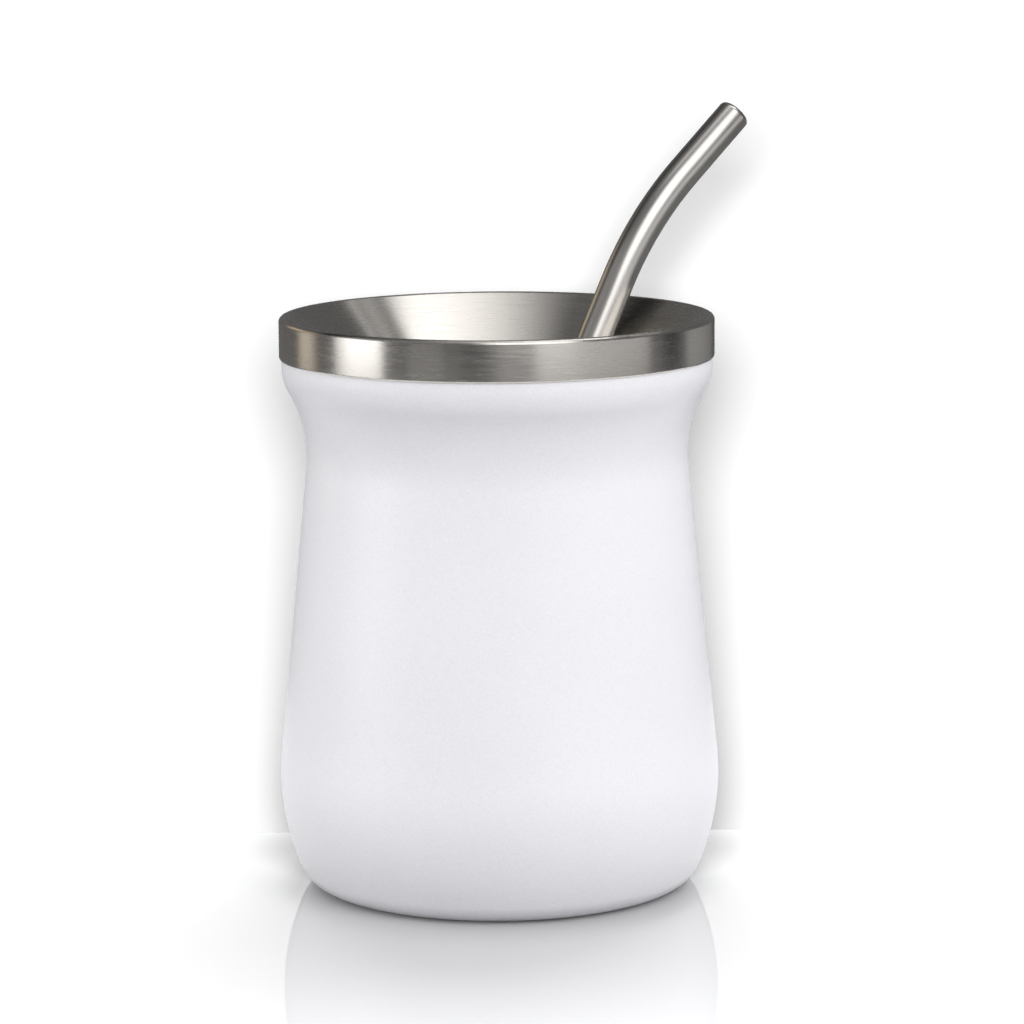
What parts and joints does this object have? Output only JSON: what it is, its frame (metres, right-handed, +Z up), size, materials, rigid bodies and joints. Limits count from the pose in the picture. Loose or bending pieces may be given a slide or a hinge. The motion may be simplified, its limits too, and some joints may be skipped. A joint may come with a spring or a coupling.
{
  "type": "mate cup",
  "caption": "Double-walled steel mate cup with a coated waisted body, a funnel rim with a bare steel band, and a bent steel drinking straw resting in it.",
  "frame": {"origin": "centre of the foot, on the surface that the cup stands on", "axes": "+Z up along the cup's axis; the straw leans towards +X and a little towards +Y"},
  "size_m": [0.0885, 0.0814, 0.1424],
  "materials": {
    "brushed_steel": "brushed round the rim",
    "white_coating": "satin powder coat",
    "plain_steel": "dull",
    "polished_steel": "polished"
  },
  "bodies": {
    "root": {"inner_liner": "brushed_steel", "outer_shell": "white_coating", "base_plate": "plain_steel", "straw_tube": "polished_steel", "strainer": "plain_steel"}
  },
  "joints": []
}
